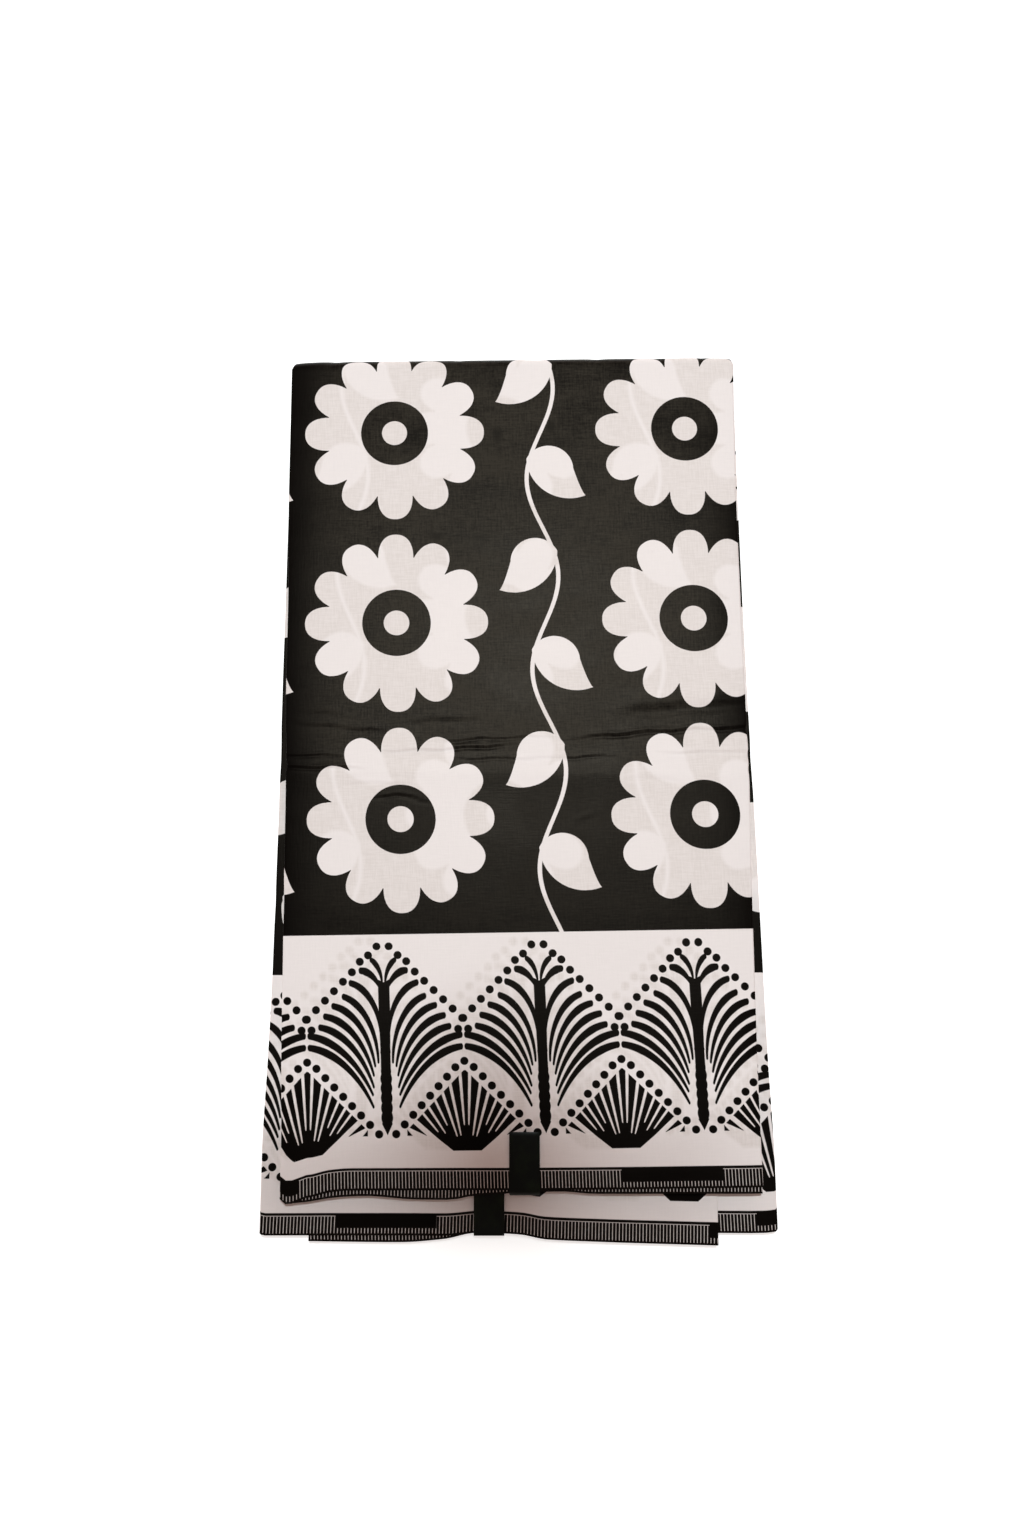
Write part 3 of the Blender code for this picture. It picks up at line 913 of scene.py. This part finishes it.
def makeOuterLeaf():
    places = hairpinPlaces(outer)
    x, v = places[0] + outer["columns"][3], places[3]
    stretched = v + readTable(outer["stretch"], v) - readTable(outer["askew"], v) * (x - outer["levelX"])
    plan = (x + readTable(outer["lean"], v), stretched)
    return buildSheet("outerLeaf", places, plan, (second["turnedAt"] - x, v), outer)


def makeSecondLeaf():
    second["columns"][1][0] = second["leftShift"]
    places = hairpinPlaces(second)
    x, v = places[0] + second["columns"][3], places[3]
    plan, beneath = (second["turnedAt"] - x, v), (x + second["beneathAt"], v)
    return buildSheet("secondLeaf", places, plan, beneath, second)


# The hidden leaves are one sheet, pleated to and fro. Each side shows its folds, and each selvedge its ends.
core = {
    "leaves": 13,
    "topRise": 0.0068,
    "bottomRise": 0.00165,
    "foldRadius": 0.00017,
    "foldSteps": 5,
    "unevenness": 0.0009,
    "shares": (0.0, 0.006, 0.018, 0.045, 0.12, 0.5, 0.88, 0.955, 0.982, 0.994, 1.0),
    "bends": (0.0, 0.018, 0.12, 0.88, 0.982, 1.0),  # a leaf is level between the middle two
    "upperEnd": ((-0.1527, -0.269), (-0.12, -0.2655), (0.1548, -0.265)),
    "upperStraight": -0.2655,
    "upperRows": rowsFrom(
        (0.0, 0.01, 0.0025), (0.01, 0.24, 0.023), (0.24, 0.315, 0.005), (0.315, 0.56, 0.0245)
    ),
    "lowerEnd": (
        (-0.1655, -0.293), (-0.135, -0.295), (-0.06, -0.2948), (-0.025, -0.292), (0.017, -0.2945),
        (0.118, -0.2968), (0.136, -0.2914), (0.165, -0.29),
    ),
    "lowerStraight": -0.2938,
    "lowerRows": rowsFrom((0.0, 0.01, 0.0025), (0.01, 0.585, 0.032)),
    "raggedness": 0.004,  # of the selvedges
    "raggedReach": 0.05,
    "raggedSmoothing": 6,
    "thickness": 0.0003,
    "wallOffset": 0,
    "endLift": 0.0,
    "setback": 0.0008,
    "plan": -0.442,
    "blockShift": 0.0,
}


# Folds at the left join leaves 0 and 1, 2 and 3 ..., and those at the right join the others
def coreColumns():
    count, radius = core["leaves"], core["foldRadius"]
    pitch = (core["topRise"] - core["bottomRise"]) / (count - 1)
    drop = pitch / 2 - radius
    random = np.random.default_rng(7)
    columns = []
    for number in range(count):
        rise = core["topRise"] - pitch * number
        edge, way = (1.0, -1) if number % 2 else (0.0, 1)  # where it ends, and the way back from there
        atLeft, atRight = rise - way * drop, rise + way * drop
        rises = np.interp(core["shares"], core["bends"], [atLeft, atLeft, rise, rise, atRight, atRight])
        leaf = [(share, 0.0, r, 0.0) for share, r in zip(core["shares"], rises)][::-way]
        columns += leaf[1:-1] if columns else leaf[:-1]
        last, back = rise - drop, core["unevenness"] * random.random()
        if number == count - 1:
            columns.append((edge, way * back, last, 0.0))
            break
        for step in range(core["foldSteps"] + 1):
            angle = math.pi * step / core["foldSteps"]
            shift = way * (back + radius * (1 - math.sin(angle)))
            columns.append((edge, shift, last - radius * (1 - math.cos(angle)), 0.0))
    return np.array(columns).T


def makeFoldedLayers():
    places = hairpinPlaces({**core, "columns": coreColumns()})
    x, y, z, v = places
    ragged = np.random.default_rng(11).random(x.shape[1])
    for _ in range(core["raggedSmoothing"]):
        ragged = (ragged + np.roll(ragged, 1) + np.roll(ragged, -1)) / 3
    nearEnds = sum(softened(1 - far / core["raggedReach"]) for far in (v, stack["clothWidth"] - v))
    y += core["raggedness"] * (ragged - 0.5) * nearEnds
    gone = np.hypot(np.diff(x, axis=1), np.diff(z, axis=1)).cumsum(axis=1)
    u = core["plan"] - np.concatenate([0 * gone[:, :1], gone], axis=1)
    return buildSheet("foldedLayers", places, (u, v), (-u, v), core)


innerRows = rowsFrom((0.0, 0.03, 0.0025), (0.03, 0.585, 0.012))
inner = {
    "columns": leafColumns(evenShares(0.292, 0.0045), rise=-0.00115, turnTowards=1, leftTurn=0.001),
    "lowerEnd": (
        (-0.1664, -0.295), (-0.164, -0.2963), (-0.1189, -0.2962), (-0.0766, -0.2962), (-0.0478, -0.2964),
        (-0.0247, -0.2946), (0.0003, -0.2957), (0.017, -0.2987), (0.0516, -0.3002), (0.1271, -0.3025),
    ),
    "lowerStraight": -0.2962,
    "lowerRows": innerRows,
    "rightX": 0.1271,
    "thickness": 0.0004,
    "endSag": 0.00062,
    "cutSag": 0.0007,
    "lean": ((0.0, 0.1664), (0.0365, 0.1653), (0.16, 0.1616), (0.205, 0.1783), (0.585, 0.1748)),
    "stretch": ((0.16, 0.0), (0.2, 0.005), (0.585, 0.0045)),
    "blockShift": -15.9,
}
innerUnder = {
    "columns": leafColumns(evenShares(0.299, 0.0045), rise=0.00015, turnTowards=1, rightTurn=0.0005),
    "lowerEnd": (
        (-0.135, -0.3), (-0.0766, -0.3006), (-0.0478, -0.2986), (-0.03, -0.295), (0.0003, -0.2935),
        (0.153, -0.2951), (0.164, -0.2942), (0.1655, -0.2925),
    ),
    "lowerStraight": -0.295,
    "lowerRows": innerRows,
    "leftX": -0.135,
    "thickness": 0.0004,
    "endSag": 0.0003,
    "cutSag": 0.0,
    "lean": (
        (0.0, 0.001), (0.0365, 0.0023), (0.16, 0.0095), (0.205, 0.0155), (0.2409, 0.0175), (0.585, 0.03),
    ),
    "blockShift": -149.9,
}


def makeInnerLeaf():
    places = innerRun(inner)
    x, v = places[0] + inner["columns"][3], places[3]
    plan = (x + readTable(inner["lean"], v), v + readTable(inner["stretch"], v))
    return buildSheet("innerLeaf", places, plan, (x + readTable(innerUnder["lean"], v), v), inner)


def makeInnerUnderLeaf():
    places = innerRun(innerUnder)
    x, v = places[0] + innerUnder["columns"][3], places[3]
    plan = (x + readTable(innerUnder["lean"], v), v)
    return buildSheet("innerUnderLeaf", places, plan, (-x, v), innerUnder)


finishSheet(makeOuterLeaf(), "outer_leaf")
finishSheet(makeSecondLeaf(), "second_leaf")
finishSheet(makeFoldedLayers(), "folded_layers")
finishSheet(makeInnerLeaf(), "inner_leaf")
finishSheet(makeInnerUnderLeaf(), "inner_under_leaf")


# Foil-faced paper labels, stamped in dark green and stuck over the selvedge: smooth, with a hard low gloss

label = {
    "thickness": 0.00035,
    "rounding": 0.0001,
    "green": "#060A07",
    "lighter": "#1C2813",
    "cloud": 1 / 90,  # width of the lighter clouds
    "cloudShare": (0.45, 0.0, 0.75, 0.5),  # their noise, and how much of the lighter green is there, twice
    "roughness": 0.34,
    "gloss": 0.16,
    # How a near end is drawn down over the selvedge: narrowing, y, z
    "longLip": ((0.0, -0.001, -0.0004), (0.0001, -0.001, -0.0006), (0.0006, -0.0006, -0.0005)),
    "shortLip": ((0.0, -0.0001, -0.0004), (0.0004, -0.0001, -0.0005)),
}


def makeFoil():
    material, shader = newMaterial("stampedFoil")
    tree = material.node_tree
    place = addNode(tree, "TexCoord", {}).outputs["Object"]
    cloud = addNode(tree, "TexNoise", {
        "Scale": 1 / label["cloud"], "Detail": 4.0, "Roughness": 0.6, "Vector": place,
    }).outputs["Fac"]
    share = addFormula(tree, {"cloud": cloud}, between("cloud", *label["cloudShare"]))
    green, lighter = hexToLinear(label["green"]), hexToLinear(label["lighter"])
    colour = addNode(tree, "Mix", {"data_type": "RGBA", 0: share, 6: green, 7: lighter}).outputs[2]
    setNode(shader, {
        "Base Color": colour,
        "Roughness": label["roughness"],
        "Specular IOR Level": label["gloss"],
    })
    return material


stampedFoil = makeFoil()


# A label is a grid, laid on the top of its CAD place, with its near edge drawn down over the selvedge
def makeLabel(name, node, lip):
    low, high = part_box(node)
    width, length = high.x - low.x, high.y - low.y
    bpy.ops.object.select_all(action="DESELECT")
    middle = ((low.x + high.x) / 2, (low.y + high.y) / 2, high.z)
    bpy.ops.mesh.primitive_grid_add(x_subdivisions=6, y_subdivisions=14, size=1, location=middle)
    made = bpy.context.object
    made.name = made.data.name = name
    made.scale = (width, length, 1)
    bpy.ops.object.transform_apply(location=True, rotation=True, scale=True)
    bpy.ops.object.mode_set(mode="EDIT")
    bpy.ops.mesh.select_mode(type="EDGE")
    bpy.ops.mesh.select_all(action="DESELECT")
    bpy.ops.object.mode_set(mode="OBJECT")
    for edge in made.data.edges:
        edge.select = all(made.data.vertices[v].co.y < low.y + 1e-5 for v in edge.vertices)
    bpy.ops.object.mode_set(mode="EDIT")
    for narrowing, forward, down in lip:
        bpy.ops.mesh.extrude_region_move(TRANSFORM_OT_translate={"value": (0, forward, down)})
        bpy.ops.transform.resize(value=(1 - 2 * narrowing / width, 1, 1))
    bpy.ops.object.mode_set(mode="OBJECT")
    wall = made.modifiers.new("wall", "SOLIDIFY")
    wall.thickness, wall.offset = label["thickness"], -1
    rounding = made.modifiers.new("rounding", "BEVEL")
    rounding.width, rounding.segments = label["rounding"], 2
    for modifier in (wall, rounding):
        bpy.ops.object.modifier_apply(modifier=modifier.name)
    made.data.shade_smooth()
    made.data.materials.append(stampedFoil)
    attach(made, "root")
    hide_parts(node)
    print("Made", name)


makeLabel("upperLabel", "upper_label", label["longLip"])
makeLabel("lowerLabel", "lower_label", label["shortLip"])


# Floor and light

studio = {
    "floorSize": 30.0,
    "floorHeight": -0.0002,
    "floorWhite": "#F4F3F2",
    "floorGlow": 0.62,
    "horizon": 0.76,  # how bright the room is low down, and overhead
    "ceiling": 0.21,
    "roomTint": (1.02, 0.775, 0.685),
    "keyPlace": (0.06, 0.64, 2.4),
    "keySize": 0.16,
    "keyWatts": 45.3,
    "keyTint": (0.895, 1.005, 1.03),
    # Two oval cards above the camera shade the near end: one its middle, and a wide one all of it a little
    "cardHeight": 1.0,
    "cardBlack": (0.02, 0.02, 0.02, 1),
    "middleCard": (0.0158, 0.1132, 0.0287, 0.0475),  # x, y, half width and half length
    "wideCard": (0.0062, 0.1042, 0.112, 0.0164),
}


def makeStudio():
    bpy.ops.mesh.primitive_plane_add(size=studio["floorSize"], location=(0, 0, studio["floorHeight"]))
    floor = bpy.context.object
    floor.name = "floor"
    board, shader = newMaterial("blackBoard")
    setNode(shader, {"Base Color": studio["cardBlack"]})
    for name in ("middleCard", "wideCard"):
        x, y, halfWidth, halfLength = studio[name]
        bpy.ops.mesh.primitive_circle_add(radius=1, fill_type="NGON", location=(x, y, studio["cardHeight"]))
        card = bpy.context.object
        card.name = name
        card.scale = (halfWidth, halfLength, 1)
        card.data.materials.append(board)
    paper, shader = newMaterial("whitePaper")
    setNode(shader, {
        "Base Color": hexToLinear(studio["floorWhite"]),
        "Roughness": 0.9,
        "Emission Color": (1, 1, 1, 1),
        "Emission Strength": studio["floorGlow"],
    })
    floor.data.materials.append(paper)

    world = bpy.data.worlds.new("paleRoom")
    world.use_nodes = True
    tree = world.node_tree
    direction = addNode(tree, "TexCoord", {}).outputs["Generated"]
    height = addNode(tree, "SeparateXYZ", {"Vector": direction}).outputs["Z"]
    level = addNode(tree, "MapRange", {
        "interpolation_type": "SMOOTHSTEP", "Value": height, "From Min": 0.25, "From Max": 0.60,
        "To Min": studio["horizon"], "To Max": studio["ceiling"],
    }).outputs[0]
    setNode(tree.nodes["Background"], {"Color": (*studio["roomTint"], 1), "Strength": level})
    bpy.context.scene.world = world

    bpy.ops.object.light_add(type="AREA", location=studio["keyPlace"])
    key = bpy.context.object
    key.name = "softBox"
    key.rotation_euler = Vector(studio["keyPlace"]).to_track_quat("Z", "Y").to_euler()
    key.data.shape = "DISK"
    key.data.size = studio["keySize"]
    key.data.energy = studio["keyWatts"]
    key.data.color = studio["keyTint"]
    bpy.context.scene.view_settings.view_transform = "Standard"


makeStudio()
print("Studio lit")
